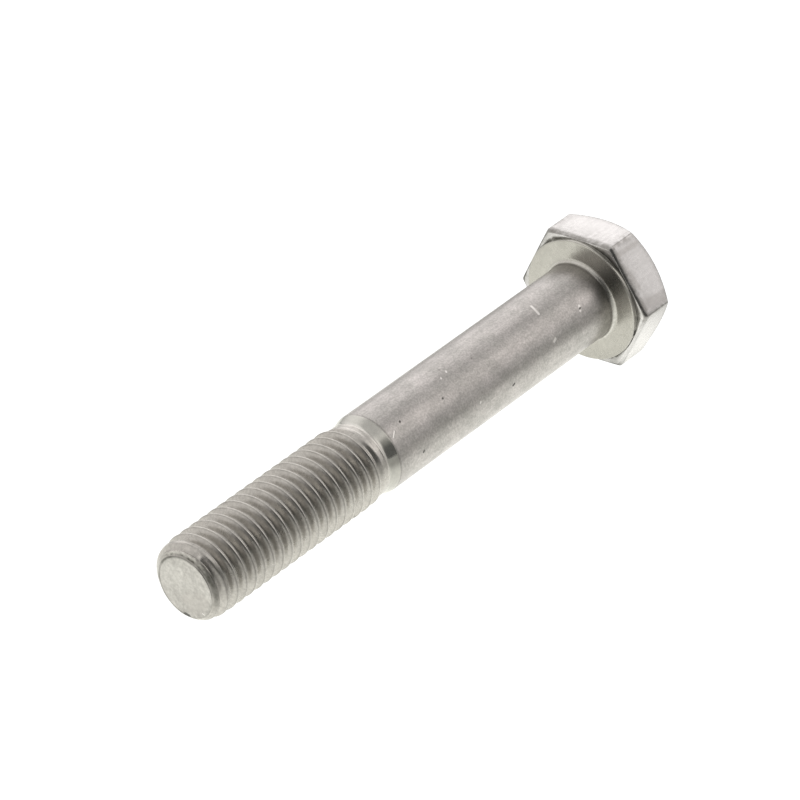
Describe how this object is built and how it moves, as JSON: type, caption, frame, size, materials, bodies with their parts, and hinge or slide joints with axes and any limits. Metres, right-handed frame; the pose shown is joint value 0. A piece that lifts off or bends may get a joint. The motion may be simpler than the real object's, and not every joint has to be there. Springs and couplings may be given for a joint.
{
  "type": "hex bolt",
  "caption": "Partly threaded hexagon head bolt in satin stainless steel, with a chamfered head, raised washer face, plain shank and rolled metric thread.",
  "frame": {"origin": "centre of the head's flat top face, on the bolt's axis", "axes": "+X along the bolt's axis from the head to the threaded point, +Z square to one wrench flat, so that the bolt lies on its side"},
  "size_m": [0.0764, 0.0184, 0.016],
  "materials": {
    "stainless_steel": "satin rolled and forged stainless steel, uncoated, with fine lengthwise marks on the shank and bright thread crests"
  },
  "bodies": {
    "root": {"hex_bolt": "stainless_steel"}
  },
  "joints": []
}
